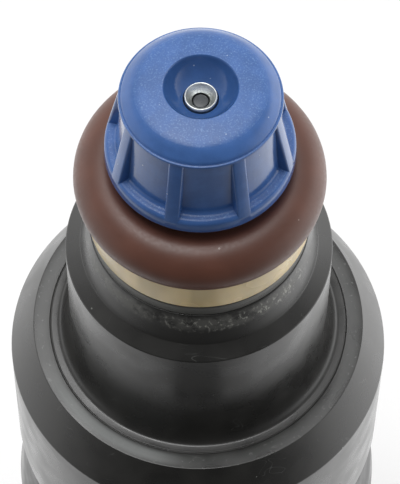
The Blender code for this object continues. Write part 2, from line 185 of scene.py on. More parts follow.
def arc(centre_r, centre_z, wide, high, start, end, count):
    """Points on an ellipse in the (radius, z) half plane, angles in degrees."""
    angles = [math.radians(start + (end - start) * step / count) for step in range(count + 1)]
    return [(centre_r + wide * math.cos(a), centre_z + high * math.sin(a)) for a in angles]


def spun(outline, steps, closed=True):
    """A bmesh of a (radius, z) outline, in millimetres, spun round the Z axis."""
    bm = bmesh.new()
    verts = [bm.verts.new((radius * MM, 0.0, z * MM)) for radius, z in outline]
    edges = [bm.edges.new(pair) for pair in zip(verts, verts[1:])]
    if closed:
        edges.append(bm.edges.new((verts[-1], verts[0])))
    bmesh.ops.spin(
        bm,
        geom=verts + edges,
        cent=(0, 0, 0),
        axis=(0, 0, 1),
        dvec=(0, 0, 0),
        angle=math.tau,
        steps=steps,
        use_merge=True,
        use_duplicate=False,
    )
    bmesh.ops.remove_doubles(bm, verts=bm.verts, dist=1e-7)
    bmesh.ops.recalc_face_normals(bm, faces=bm.faces)
    return bm


def block(low, high, place=Matrix(), fillet=0.0):
    """A box between two corners in millimetres, with every edge rounded if a fillet is given."""
    bm = bmesh.new()
    bmesh.ops.create_cube(bm, size=1.0)
    bmesh.ops.scale(bm, vec=[b - a for a, b in zip(low, high)], verts=bm.verts)
    bmesh.ops.translate(bm, vec=[(a + b) / 2 for a, b in zip(low, high)], verts=bm.verts)
    if fillet:
        round_off(bm, list(bm.edges), fillet, segments=4)
    bmesh.ops.transform(bm, matrix=place, verts=bm.verts)
    bmesh.ops.scale(bm, vec=(MM, MM, MM), verts=bm.verts)
    return bm


def round_off(bm, edges, width, segments):
    """Round some edges of a bmesh."""
    bmesh.ops.bevel(
        bm,
        geom=edges,
        offset=width,
        offset_type="OFFSET",
        segments=segments,
        profile=0.5,
        affect="EDGES",
        material=-1,
        clamp_overlap=True,
    )


def helper_object(bm, name):
    """Turn a bmesh into a plain object and free it."""
    mesh = bpy.data.meshes.new(name)
    bm.to_mesh(mesh)
    bm.free()
    obj = bpy.data.objects.new(name, mesh)
    bpy.context.scene.collection.objects.link(obj)
    return obj


def combined(base, steps):
    """base with each (operation, bmesh) applied in order, as one clean bmesh."""
    target = helper_object(base, "joining")
    helpers = []
    for index, (operation, bm) in enumerate(steps):
        helper = helper_object(bm, f"joining_{index}")
        modifier = target.modifiers.new(helper.name, "BOOLEAN")
        modifier.operation = operation
        modifier.object = helper
        modifier.solver = "EXACT"
        helpers.append(helper)
    bpy.context.view_layer.update()
    evaluated = target.evaluated_get(bpy.context.evaluated_depsgraph_get())
    result = bmesh.new()
    result.from_mesh(evaluated.to_mesh())
    evaluated.to_mesh_clear()
    for helper in [target, *helpers]:
        mesh = helper.data
        bpy.data.objects.remove(helper)
        bpy.data.meshes.remove(mesh)
    bmesh.ops.remove_doubles(result, verts=result.verts, dist=1e-7)
    bmesh.ops.dissolve_degenerate(result, dist=1e-8, edges=result.edges)
    return result


def add_piece(name, bm, finish, node, body=MAIN_BODY, sharp_deg=32.0):
    """Turn a bmesh into a finished piece that stands for a CAD node."""
    mesh = bpy.data.meshes.new(name)
    bm.to_mesh(mesh)
    bm.free()
    mesh.shade_smooth()
    mesh.set_sharp_from_angle(angle=math.radians(sharp_deg))
    mesh.materials.append(finish)
    obj = bpy.data.objects.new(name, mesh)
    bpy.context.scene.collection.objects.link(obj)
    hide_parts(node)
    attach(obj, body)
    return obj


def repaint(node, finish):
    """Give a CAD node that keeps its own shape a better finish."""
    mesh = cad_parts[node].data
    mesh.materials.clear()
    mesh.materials.append(finish)


# ---------------------------------------------------------------- material helpers


class Bench:
    """Short calls for building a node tree."""

    def __init__(self, tree):
        self.tree = tree

    def node(self, kind, **settings):
        made = self.tree.nodes.new(kind)
        for name, value in settings.items():
            setattr(made, name, value)
        return made

    def put(self, socket, value):
        if isinstance(value, bpy.types.NodeSocket):
            self.tree.links.new(value, socket)
        elif value is not None:
            socket.default_value = value

    def math(self, operation, a, b=None, c=None, clamp=False):
        node = self.node("ShaderNodeMath", operation=operation, use_clamp=clamp)
        for socket, value in zip(node.inputs, (a, b, c)):
            self.put(socket, value)
        return node.outputs[0]

    def remap(self, value, low, high, to_low=0.0, to_high=1.0, kind="SMOOTHSTEP"):
        node = self.node("ShaderNodeMapRange", interpolation_type=kind)
        for socket, number in zip(node.inputs, (value, low, high, to_low, to_high)):
            self.put(socket, number)
        return node.outputs["Result"]

    def blend(self, share, first, second):
        node = self.node("ShaderNodeMix", data_type="RGBA")
        self.put(node.inputs["Factor"], share)
        self.put(node.inputs[6], first)
        self.put(node.inputs[7], second)
        return node.outputs[2]

    def overlay(self, mask, share, tone, colour):
        """tone with a colour laid over it wherever mask is set, at a share of full strength."""
        return self.blend(self.math("MULTIPLY", mask, share), tone, colour)

    def noise(self, where, scale, detail=2.0, roughness=0.5, distortion=0.0):
        node = self.node("ShaderNodeTexNoise")
        self.put(node.inputs["Vector"], where)
        self.put(node.inputs["Scale"], scale)
        self.put(node.inputs["Detail"], detail)
        self.put(node.inputs["Roughness"], roughness)
        self.put(node.inputs["Distortion"], distortion)
        return node.outputs["Fac"]

    def parts(self, vector):
        """The x, y and z of a vector."""
        split = self.node("ShaderNodeSeparateXYZ")
        self.put(split.inputs[0], vector)
        return split.outputs

    def length(self, a, b):
        """The square root of a * a + b * b."""
        squares = self.math("MULTIPLY", a, a), self.math("MULTIPLY", b, b)
        return self.math("SQRT", self.math("ADD", *squares))

    def millimetres(self):
        """Object coordinates, in millimetres."""
        coordinates = self.node("ShaderNodeTexCoord").outputs["Object"]
        node = self.node("ShaderNodeVectorMath", operation="SCALE")
        self.put(node.inputs[0], coordinates)
        node.inputs["Scale"].default_value = 1.0 / MM
        return node.outputs[0]

    def polar(self):
        """(radius, angle, z) of the shaded point, in millimetres and radians."""
        x, y, z = self.parts(self.millimetres())
        return self.length(x, y), self.math("ARCTAN2", y, x), z

    def facing(self, angle, towards_deg, half_deg):
        """1 round a direction, in degrees from -Y towards +X, fading to 0 at half_deg from it."""
        off = self.math("ABSOLUTE", self.math("SUBTRACT", angle, math.radians(towards_deg - 90)))
        return self.remap(off, math.radians(half_deg), math.radians(half_deg * 0.3))

    def vector(self, x, y, z):
        node = self.node("ShaderNodeCombineXYZ")
        for socket, value in zip(node.inputs, (x, y, z)):
            self.put(socket, value)
        return node.outputs[0]

    def group(self, name, **values):
        """Place one of the shared effects; underscores in a keyword stand for spaces."""
        node = self.node("ShaderNodeGroup", node_tree=EFFECTS[name]())
        for key, value in values.items():
            self.put(node.inputs[key.replace("_", " ")], value)
        return node

    def bump(self, height, strength, distance_mm, normal=None):
        node = self.node("ShaderNodeBump")
        node.inputs["Strength"].default_value = strength
        node.inputs["Distance"].default_value = distance_mm * MM
        self.put(node.inputs["Height"], height)
        self.put(node.inputs["Normal"], normal)
        return node.outputs[0]

    def surface(self, shader, tone, rough, height, strength, distance_mm):
        """Connect a finish's colour, roughness and relief."""
        self.put(shader.inputs["Base Color"], tone)
        self.put(shader.inputs["Roughness"], rough)
        self.put(shader.inputs["Normal"], self.bump(height, strength, distance_mm))

    def mottled(self, grain, colour, darker, lighter):
        """A colour that drifts between two shades with the broad part of the grain."""
        share = self.remap(grain.outputs["Broad"], 0.3, 0.7)
        return self.blend(share, shade(colour, darker), shade(colour, lighter))


def effect(name, inputs, outputs, build):
    """A shared node group, made once. build gets the bench and the group's input sockets."""
    found = bpy.data.node_groups.get(name)
    if found:
        return found
    tree = bpy.data.node_groups.new(name, "ShaderNodeTree")
    for label, default in inputs:
        socket = tree.interface.new_socket(name=label, in_out="INPUT", socket_type="NodeSocketFloat")
        socket.default_value = default
    for label in outputs:
        tree.interface.new_socket(name=label, in_out="OUTPUT", socket_type="NodeSocketFloat")
    bench = Bench(tree)
    source, sink = bench.node("NodeGroupInput"), bench.node("NodeGroupOutput")
    for label, socket in zip(outputs, build(bench, source.outputs)):
        bench.put(sink.inputs[label], socket)
    return tree


def grain_effect():
    """Moulded or blasted grain: a fine height and a soft, larger mottling."""

    def build(bench, given):
        where = bench.millimetres()
        fine = bench.noise(where, given["Scale"], 3.0, 0.6)
        broad = bench.noise(where, bench.math("MULTIPLY", given["Scale"], 0.08), 2.0, 0.5)
        return fine, broad

    return effect("surface grain", [("Scale", 8.0)], ["Fine", "Broad"], build)


def dust_effect():
    """Scattered round specks: one in each cell of a lattice, most of them dropped."""

    def build(bench, given):
        cells = bench.node("ShaderNodeTexVoronoi")
        bench.put(cells.inputs["Vector"], bench.millimetres())
        bench.put(cells.inputs["Scale"], given["Scale"])
        pick = bench.node("ShaderNodeSeparateColor")
        bench.put(pick.inputs[0], cells.outputs["Color"])
        size = bench.math("MULTIPLY", given["Size"], bench.math("ADD", pick.outputs[1], 0.35))
        near = bench.math("LESS_THAN", cells.outputs["Distance"], size)
        kept = bench.math("LESS_THAN", pick.outputs[0], given["Share"])
        return [bench.math("MULTIPLY", near, kept)]

    return effect("dust specks", [("Scale", 3.0), ("Size", 0.12), ("Share", 0.1)], ["Mask"], build)


def lathe_effect():
    """Fine rings left by turning, broken up a little round the piece."""

    def build(bench, given):
        radius, angle, z = bench.polar()
        across = bench.math("ADD", radius, bench.math("MULTIPLY", z, 0.83))
        across = bench.math("MULTIPLY", across, given["Scale"])
        where = bench.vector(across, bench.math("MULTIPLY", angle, 0.7), z)
        rings = bench.noise(where, 1.0, 3.0, 0.65)
        return [rings]

    return effect("lathe marks", [("Scale", 9.0)], ["Height"], build)


def ring_wear_effect():
    """Broken, patchy wear in a band round the edge that lies at a given radius and height; finishes
    also lay painted highlight and sheen with it.
    """

    def build(bench, given):
        radius, angle, z = bench.polar()
        off_r = bench.math("SUBTRACT", radius, given["Radius"])
        off_z = bench.math("SUBTRACT", z, given["Height"])
        far = bench.length(off_r, off_z)
        near = bench.remap(bench.math("DIVIDE", far, given["Width"]), 1.0, 0.2)
        where = bench.vector(radius, bench.math("MULTIPLY", angle, given["Round"]), z)
        patches = bench.noise(where, given["Scale"], 4.0, 0.68)
        edge = bench.math("SUBTRACT", 1.0, given["Amount"])
        wear_and_sheen_patches = bench.remap(patches, bench.math("SUBTRACT", edge, 0.06), bench.math("ADD", edge, 0.1))
        return [bench.math("MULTIPLY", near, wear_and_sheen_patches)]

    place = [("Radius", 8.0), ("Height", 0.0), ("Width", 0.5)]
    pattern = [("Scale", 1.5), ("Round", 8.0), ("Amount", 0.5)]
    return effect("ring wear", place + pattern, ["Mask"], build)


def scratch_effect():
    """Sparse hairlines: thin level lines of a stretched, warped noise."""

    def build(bench, given):
        where = bench.millimetres()
        x, y, z = bench.parts(where)
        stretched = bench.vector(bench.math("MULTIPLY", x, 0.25), y, bench.math("MULTIPLY", z, 0.6))
        field = bench.noise(stretched, given["Scale"], 1.0, 0.4, 0.8)
        line = bench.math("ABSOLUTE", bench.math("SUBTRACT", field, 0.52))
        hair = bench.remap(line, given["Width"], 0.0)
        gate = bench.remap(bench.noise(where, 0.7, 2.0, 0.5), 0.56, 0.64)
        return [bench.math("MULTIPLY", hair, gate)]

    return effect("hairlines", [("Scale", 1.2), ("Width", 0.004)], ["Mask"], build)


EFFECTS = {
    "grain": grain_effect,
    "dust": dust_effect,
    "lathe": lathe_effect,
    "ring wear": ring_wear_effect,
    "hairlines": scratch_effect,
}


def finish_material(name):
    """A new material, its Principled shader and a bench for its tree."""
    made = bpy.data.materials.new(name)
    made.use_nodes = True
    return made, made.node_tree.nodes["Principled BSDF"], Bench(made.node_tree)


def shade(colour, factor):
    """An RGBA colour scaled by a factor."""
    return (*[min(1.0, c * factor) for c in colour], 1.0)


# ---------------------------------------------------------------- finishes


def blue_nylon(colour):
    """Moulded nylon: grain with painted glints on the level faces, smooth glossy walls, painted
    shade in the spray bowl, and a little dust.
    """
    made, shader, bench = finish_material("blue_nylon")
    radius, angle, z = bench.polar()
    grain = bench.group("grain", Scale=11.0)
    dust = bench.group("dust", Scale=2.2, Size=0.09, Share=0.16)
    _, _, up = bench.parts(bench.node("ShaderNodeNewGeometry").outputs["Normal"])
    level = bench.remap(up, 0.8, 0.995)
    cloud = bench.remap(grain.outputs["Broad"], 0.35, 0.68)
    tone = bench.blend(cloud, shade(colour, 0.92), shade(colour, 1.08))
    # Painted glints: lighter blue specks laid into the colour, strongest on the up-facing faces
    # under the overhead light.
    painted_glint_specks = bench.remap(grain.outputs["Fine"], 0.5, 0.72)
    painted_glint_share = bench.math("MULTIPLY", painted_glint_specks, bench.remap(level, 0, 1, 0.04, 0.5))
    tone = bench.blend(painted_glint_share, tone, (0.2, 0.34, 0.6, 1.0))
    tone = bench.overlay(dust.outputs["Mask"], 0.5, tone, (0.6, 0.7, 0.85, 1.0))
    # Painted shade: the colour is darkened inside the spray bowl, standing for the shade of the
    # recess.
    bowl = bench.math("MULTIPLY", bench.remap(radius, 2.14, 2.0), bench.remap(z, 24.0, 24.5))
    tone = bench.overlay(bowl, 0.45, tone, shade(colour, 0.45))
    rough = bench.remap(level, 0.0, 1.0, 0.1, 0.4)
    # Drawing marks run up the walls, and the level faces keep the grain of the mould.
    drawn = bench.vector(bench.math("MULTIPLY", angle, 9.0), radius, bench.math("MULTIPLY", z, 0.25))
    streaks = bench.math("MULTIPLY", bench.noise(drawn, 1.6, 2.0), 0.5)
    height = bench.math("ADD", bench.math("MULTIPLY", grain.outputs["Fine"], level), streaks)
    rough = bench.math("ADD", rough, bench.remap(grain.outputs["Broad"], 0.3, 0.7, 0.0, 0.06))
    bench.surface(shader, tone, rough, height, strength=0.45, distance_mm=0.03)
    shader.inputs["Specular IOR Level"].default_value = 0.5
    shader.inputs["Subsurface Weight"].default_value = 0.05
    shader.inputs["Subsurface Radius"].default_value = (0.0003, 0.0005, 0.001)
    return made


def brown_rubber(colour):
    """Smooth moulded rubber with a soft bloom and a few specks of dust."""
    made, shader, bench = finish_material("brown_rubber")
    grain = bench.group("grain", Scale=5.0)
    dust = bench.group("dust", Scale=0.9, Size=0.07, Share=0.1)
    tone = bench.mottled(grain, colour, 0.9, 1.12)
    tone = bench.overlay(dust.outputs["Mask"], 0.5, tone, (0.5, 0.42, 0.38, 1.0))
    rough = bench.remap(grain.outputs["Fine"], 0.3, 0.7, 0.36, 0.46)
    bench.surface(shader, tone, rough, grain.outputs["Fine"], strength=0.12, distance_mm=0.02)
    shader.inputs["Specular IOR Level"].default_value = 0.5
    return made


def natural_nylon(colour, name="natural_nylon"):
    """Unfilled nylon: cream, cloudy and glossy, with faint marks from its mould up its sides."""
    made, shader, bench = finish_material(name)
    _, angle, z = bench.polar()
    grain = bench.group("grain", Scale=4.0)
    marks = bench.group("lathe", Scale=5.0)
    tone = bench.mottled(grain, colour, 0.92, 1.1)
    drawn = bench.vector(bench.math("MULTIPLY", angle, 3.5), 0.0, bench.math("MULTIPLY", z, 0.15))
    streaks = bench.noise(drawn, 1.0, 1.0)
    tone = bench.blend(bench.remap(streaks, 0.42, 0.62, 0.0, 0.5), tone, shade(colour, 0.6))
    rough = bench.remap(grain.outputs["Broad"], 0.3, 0.7, 0.22, 0.3)
    bench.surface(shader, tone, rough, marks.outputs["Height"], strength=0.05, distance_mm=0.02)
    shader.inputs["Subsurface Weight"].default_value = 0.25
    shader.inputs["Subsurface Radius"].default_value = (0.001, 0.0007, 0.0003)
    return made


def wear_band(bench, radius, height, width, **pattern):
    """The mask of the ring wear effect round an edge at a radius and height."""
    band = bench.group("ring wear", Radius=radius, Height=height, Width=width, **pattern)
    return band.outputs["Mask"]


def black_steel(colour):
    """Satin black plating: scuffs and a painted highlight on the crimp, and grey wear with a painted
    sheen on part of the shoulder.
    """
    made, shader, bench = finish_material("black_steel")
    _, angle, _ = bench.polar()
    grain = bench.group("grain", Scale=6.0)
    marks = bench.group("lathe", Scale=7.0)
    hairs = bench.group("hairlines", Scale=1.1, Width=0.006)
    dust = bench.group("dust", Scale=1.1, Size=0.06, Share=0.1)
    crimp = wear_band(bench, 6.68, 12.0, 0.8, Scale=1.2, Round=5.0, Amount=0.56)
    chips = wear_band(bench, 6.7, 11.9, 0.8, Scale=3.2, Round=9.0, Amount=0.42)
    shoulder = wear_band(bench, 9.8, 0.0, 0.55, Scale=0.5, Round=2.2, Amount=0.66)
    flecks = wear_band(bench, 9.95, 0.0, 0.55, Scale=3.4, Round=9.0, Amount=0.36)
    # The left side is where the light falls: it lays a painted sheen over the shoulder's wear.
    left = bench.facing(angle, towards_deg=-36, half_deg=40)
    right = bench.facing(angle, towards_deg=25, half_deg=60)
    # The side at 25 degrees carries real scuffs; the side at -48 degrees paints the highlight of the
    # crimp's rounded rim.
    scuff_and_highlight_sides = bench.math("MAXIMUM", right, bench.facing(angle, towards_deg=-48, half_deg=34))

    tone = bench.mottled(grain, colour, 0.75, 1.3)
    # Grey wear round the shoulder, raised to a painted sheen on the left side.
    wear_and_sheen_patches = bench.math("MULTIPLY", shoulder, bench.remap(left, 0.0, 1.0, 0.12, 0.8))
    tone = bench.blend(wear_and_sheen_patches, tone, (0.2, 0.21, 0.205, 1.0))
    # Scuffs on the crimp, with a painted highlight laid on its left side.
    scuffs_and_painted_highlight = bench.math("MULTIPLY", crimp, bench.remap(scuff_and_highlight_sides, 0.0, 1.0, 0.2, 0.75))
    tone = bench.blend(scuffs_and_painted_highlight, tone, (0.12, 0.12, 0.11, 1.0))
    chipped = bench.math("MULTIPLY", chips, bench.remap(right, 0.0, 1.0, 0.15, 0.9))
    tone = bench.blend(chipped, tone, (0.42, 0.42, 0.38, 1.0))
    tone = bench.overlay(flecks, 0.5, tone, (0.3, 0.31, 0.3, 1.0))
    tone = bench.overlay(hairs.outputs["Mask"], 0.35, tone, (0.15, 0.155, 0.15, 1.0))
    tone = bench.overlay(dust.outputs["Mask"], 0.5, tone, (0.35, 0.36, 0.34, 1.0))

    # These zones, real wear and painted light together, get rougher and bumpier.
    wear_and_sheen_zones = bench.math("MAXIMUM", wear_and_sheen_patches, scuffs_and_painted_highlight)
    rough = bench.remap(grain.outputs["Broad"], 0.25, 0.75, 0.24, 0.34)
    bumps = bench.math("ADD", marks.outputs["Height"], bench.math("MULTIPLY", wear_and_sheen_zones, 0.6))
    rough = bench.math("ADD", rough, bench.math("MULTIPLY", wear_and_sheen_zones, 0.25))
    bench.surface(shader, tone, rough, bumps, strength=0.08, distance_mm=0.02)
    shader.inputs["Specular IOR Level"].default_value = 0.72
    return made


def ground_steel(name, colour, low_rough, high_rough):
    """Turned or ground steel: metallic, with fine rings and slight staining."""
    made, shader, bench = finish_material(name)
    grain = bench.group("grain", Scale=3.0)
    marks = bench.group("lathe", Scale=14.0)
    tone = bench.mottled(grain, colour, 0.8, 1.1)
    shader.inputs["Metallic"].default_value = 1.0
    rough = bench.remap(marks.outputs["Height"], 0.35, 0.65, low_rough, high_rough)
    bench.surface(shader, tone, rough, marks.outputs["Height"], strength=0.12, distance_mm=0.02)
    return made


def pintle_steel():
    """Ground steel, with painted shade where the pintle's end sits in the spray hole: dark and
    hardly metallic.
    """
    made, shader, bench = finish_material("pintle_steel")
    _, _, z = bench.polar()
    marks = bench.group("lathe", Scale=18.0)
    grain = bench.group("grain", Scale=14.0)
    # Painted shade: the pintle's end is dark and hardly metallic, standing for the shade of the deep
    # spray hole.
    painted_shade_share = bench.remap(z, 24.6, 25.1)
    bright = bench.blend(grain.outputs["Broad"], (0.46, 0.47, 0.49, 1.0), (0.6, 0.61, 0.63, 1.0))
    dark_tone = bench.blend(grain.outputs["Fine"], (0.022, 0.025, 0.03, 1.0), (0.05, 0.056, 0.062, 1.0))
    bench.put(shader.inputs["Metallic"], bench.remap(painted_shade_share, 0.0, 1.0, 1.0, 0.1, kind="LINEAR"))
    tone = bench.blend(painted_shade_share, bright, dark_tone)
    rough = bench.remap(marks.outputs["Height"], 0.3, 0.7, 0.25, 0.45)
    bench.surface(shader, tone, rough, marks.outputs["Height"], strength=0.15, distance_mm=0.02)
    return made


def nozzle_steel():
    """Ground bright at the tip, and darker and less metallic outwards from a radius of 3.6 mm, on
    the collar under the seal.
    """
    made, shader, bench = finish_material("nozzle_steel")
    radius, _, _ = bench.polar()
    marks = bench.group("lathe", Scale=16.0)
    grain = bench.group("grain", Scale=4.0)
    dark = bench.remap(radius, 3.6, 4.2)
    bright = bench.blend(grain.outputs["Broad"], (0.58, 0.6, 0.58, 1.0), (0.76, 0.78, 0.76, 1.0))
    dark_tone = bench.blend(grain.outputs["Broad"], (0.07, 0.07, 0.066, 1.0), (0.13, 0.13, 0.12, 1.0))
    bench.put(shader.inputs["Metallic"], bench.remap(dark, 0.0, 1.0, 1.0, 0.4, kind="LINEAR"))
    tone = bench.blend(dark, bright, dark_tone)
    rough = bench.remap(marks.outputs["Height"], 0.3, 0.7, 0.26, 0.42)
    bench.surface(shader, tone, rough, marks.outputs["Height"], strength=0.12, distance_mm=0.02)
    return made


def black_nylon(colour):
    """Glass-filled nylon: satin black with faint fibre mottling and hairline scratches."""
    made, shader, bench = finish_material("black_nylon")
    grain = bench.group("grain", Scale=5.0)
    hairs = bench.group("hairlines", Scale=0.9, Width=0.005)
    dust = bench.group("dust", Scale=0.9, Size=0.07, Share=0.12)
    tone = bench.mottled(grain, colour, 0.8, 1.7)
    tone = bench.overlay(hairs.outputs["Mask"], 0.4, tone, (0.12, 0.12, 0.12, 1.0))
    tone = bench.overlay(dust.outputs["Mask"], 0.6, tone, (0.4, 0.4, 0.38, 1.0))
    rough = bench.remap(grain.outputs["Broad"], 0.3, 0.7, 0.3, 0.44)
    bench.surface(shader, tone, rough, grain.outputs["Fine"], strength=0.12, distance_mm=0.03)
    shader.inputs["Specular IOR Level"].default_value = 0.3
    return made


def wound_copper():
    """Enamelled wire laid side by side, drawn as fine ridges along the winding."""
    made, shader, bench = finish_material("enamelled_copper")
    _, angle, z = bench.polar()
    turns = bench.math("ADD", bench.math("MULTIPLY", z, 5.0), bench.math("DIVIDE", angle, math.tau))
    ridge = bench.math("PINGPONG", turns, 0.5)
    grain = bench.group("grain", Scale=3.0)
    tone = bench.blend(ridge, (0.2, 0.05, 0.015, 1.0), (0.62, 0.2, 0.07, 1.0))
    tone = bench.overlay(grain.outputs["Broad"], 0.3, tone, (0.3, 0.08, 0.03, 1.0))
    rough = bench.remap(ridge, 0.0, 0.5, 0.45, 0.25)
    bench.surface(shader, tone, rough, ridge, strength=0.5, distance_mm=0.05)
    shader.inputs["Metallic"].default_value = 0.8
    return made


def woven_wire():
    """The filter's fine woven mesh, with open squares between the wires."""
    made, shader, bench = finish_material("woven_wire")
    _, angle, z = bench.polar()
    upright = bench.math("PINGPONG", bench.math("MULTIPLY", angle, 14.0), 0.5)
    level = bench.math("PINGPONG", bench.math("MULTIPLY", z, 8.0), 0.5)
    wire = bench.math("MAXIMUM", upright, level)
    tone = bench.blend(bench.remap(wire, 0.2, 0.45), (0.03, 0.03, 0.03, 1.0), (0.5, 0.5, 0.48, 1.0))
    rough = bench.remap(wire, 0.0, 0.5, 0.6, 0.3)
    bench.surface(shader, tone, rough, wire, strength=0.6, distance_mm=0.05)
    shader.inputs["Metallic"].default_value = 0.9
    return made


def pale_floor():
    """Matt, nearly white paper."""
    made, shader, bench = finish_material("pale_floor")
    grain = bench.group("grain", Scale=0.4)
    tone = bench.blend(grain.outputs["Broad"], (0.9, 0.9, 0.9, 1.0), (0.93, 0.93, 0.93, 1.0))
    bench.put(shader.inputs["Base Color"], tone)
    shader.inputs["Roughness"].default_value = 0.85
    shader.inputs["Specular IOR Level"].default_value = 0.1
    return made


# ---------------------------------------------------------------- pieces


def make_pintle_cap(sizes):
    """Spun cap with a bowl round the spray hole, a tapered wall, webs and softened edges."""
    top, web_foot = 27.1, 21.5
    edge, wall, foot = sizes.cap_edge_radius, sizes.cap_wall_radius, sizes.cap_wall_radius + 0.32
    mouth, hole = sizes.cap_mouth_radius, sizes.cap_hole_radius
    # The bowl is part of a sphere, cut off level at its rim.
    bowl_r, rise = 2.22, 27.88
    at_hole, at_rim = -math.degrees(math.acos(hole / bowl_r)), -20.6
    bowl = arc(0, rise, bowl_r, bowl_r, at_hole, at_rim, 12)
    outline = rounded(
        [
            (mouth + 0.03, top),
            (2.6, 27.065),
            (3.1, 27.0),
            (3.74, 26.92, 1.35),
            (edge - 0.12, 26.2, 0.45),
            (edge - 0.12, 26.16),
            (edge - 0.19, 26.13),
            (edge - 0.02, 26.08, 0.02),
            (edge, 25.95, 0.04),
            (wall, 25.76, 0.05),
            ((wall + foot) / 2, 23.6),
            (foot, web_foot, 0.3),
            (5.4, web_foot, 0.3),
            (5.45, 20.56, 0.2),
            (4.7, 19.77, 0.15),
            (4.1, 19.77, 0.1),
            (3.2, 20.9, 0.2),
            (3.2, 25.0, 0.1),
            (hole, 25.0, 0.06),
            *bowl[:-1],
            (mouth - 0.01, top - 0.035),
        ]
    )
    webs = []
    low_r, top_r, foot_r, web_top = wall - 0.3, edge - 0.07, 5.42, 25.85
    inside = (low_r + 0.1) * MM
    half_thick = sizes.rib_thickness / 2
    for index in range(sizes.rib_count):
        turn = math.radians(sizes.rib_phase - 90 + 360 / sizes.rib_count * index)
        web = block((low_r, -half_thick, web_foot - 0.3), (foot_r, half_thick, web_top))
        for vert in web.verts:
            if vert.co.x > inside and vert.co.z > 24 * MM:
                vert.co.x = top_r * MM
        outer = [e for e in web.edges if min(v.co.x for v in e.verts) > inside]
        upright = [e for e in outer if abs(e.verts[0].co.z - e.verts[1].co.z) > 2 * MM]
        round_off(web, upright, 0.13 * MM, 3)
        bmesh.ops.rotate(web, matrix=Matrix.Rotation(turn, 3, "Z"), verts=web.verts)
        webs.append(("UNION", web))
    return combined(spun(outline, sizes.turn_steps), webs)


def make_nozzle_body(sizes):
    """Collar, seal gland and ground tip, with the guide bore and the metering hole."""
    outline = rounded(
        [
            (0.86, 26.18, 0.04),
            (0.92, 26.12, 0.03),
            (0.94, 24.8, 0.1),
            (2.85, 24.7, 0.2),
            (2.85, 20.6),
            (3.45, 19.4, 0.2),
            (3.45, 13.64, 0.1),
            (6.46, 13.64, 0.12),
            (6.46, 12.72, 0.06),
            (6.2, 12.72),
            (6.2, 9.3),
            (6.0, 9.3),
            (6.0, 0.5),
            (3.3, 0.5),
            (3.3, 2.7),
            (2.05, 2.7),
            (2.05, 21.7),
            (0.5, 23.85),
            (0.5, 25.72, 0.03),
            (0.66, 25.9),
        ]
    )
    return spun(outline, sizes.turn_steps)


def make_needle(sizes):
    """The pintle and its stem; only the pintle's ground end shows."""
    outline = [
        (0.0, 25.66),
        *arc(0.38, 25.6, 0.06, 0.06, 90, 0, 4),
        (0.43, 25.2),
        (0.3, 24.8),
        (0.38, 23.6),
        (1.5, 22.05),
        (1.5, 21.0),
        (1.98, 20.8),
        (1.98, 18.6),
        (1.2, 18.2),
        (1.2, 8.4),
        (1.98, 8.0),
        (1.98, 4.6),
        (1.6, 4.3),
        (1.6, 2.2),
        (2.8, 2.2),
        (2.8, 0.4),
        (1.5, 0.4),
        (1.5, -5.6),
        (0.0, -5.6),
    ]
    return spun(outline, sizes.turn_steps // 2, closed=False)


def make_seal(sizes, centre_z):
    """A moulded seal ring of round section."""
    section = arc(SEAL_R, centre_z, SEAL_SECTION_R, SEAL_SECTION_R, 0, 360, 40)[:-1]
    return spun(section, sizes.turn_steps)


def make_backing_ring(sizes):
    """The plastic ring whose hollow upper face carries the lower seal."""
    foot_z, bore_r, wall_r, rim_z, hollow_r = 13.66, 3.6, 6.57, 15.99, 1.84
    hollow = arc(SEAL_R, LOWER_SEAL_Z, hollow_r, hollow_r, -128, -60, 14)
    outline = rounded(
        [
            (bore_r, foot_z, 0.1),
            (bore_r, hollow[0][1]),
            *hollow,
            (wall_r, rim_z, 0.06),
            (wall_r, 13.86, 0.12),
            (6.3, foot_z, 0.1),
        ]
    )
    return spun(outline, sizes.turn_steps)


def make_housing(sizes):
    """Deep-drawn shell: crimped lip, neck, swept foot, shoulder, chamfer and rolled lower edge."""
    neck, shoulder = sizes.neck_radius, sizes.shoulder_radius
    wall, inner_wall, sweep_r, sweep_z = 11.85, 10.3, 8.87, 3.1
    outline = rounded(
        [
            (6.25, 12.66, 0.03),
            (6.5, 12.66, 0.1),
            (6.82, 11.4, 0.4),
            (7.1, 10.28, 0.12),
            (neck - 0.05, 9.72, 0.04),
            (neck, 9.66, 0.03),
            (neck, 3.6),
            *arc(sweep_r, sweep_z, sweep_r - neck, sweep_z, 180, 270, 14),
            (9.2, 0.0, 0.04),
            (9.27, -0.05, 0.03),
            (9.34, 0.0, 0.04),
            (shoulder, 0.0, 0.07),
            (wall, -2.57, 0.25),
            (wall, -12.0),
            *arc(wall - 0.5, -12.1, 0.5, 0.5, 0, -90, 8),
            (9.7, -12.6),
            (9.7, -12.3),
            (inner_wall, -12.3),
            (inner_wall, -3.0),
            (4.75, -3.0),
            (4.75, -1.4),
            (6.3, -1.4),
            (6.3, 9.0),
            (6.25, 9.0),
        ]
    )
    return spun(outline, sizes.turn_steps)


def connector_frame(sizes):
    """The frame of the tower, whose -Y points out of its mouth, in millimetres."""
    lean = Matrix.Rotation(math.radians(sizes.connector_tilt), 4, "X")
    return Matrix.Translation((0, TOWER_Y, TOWER_Z)) @ lean


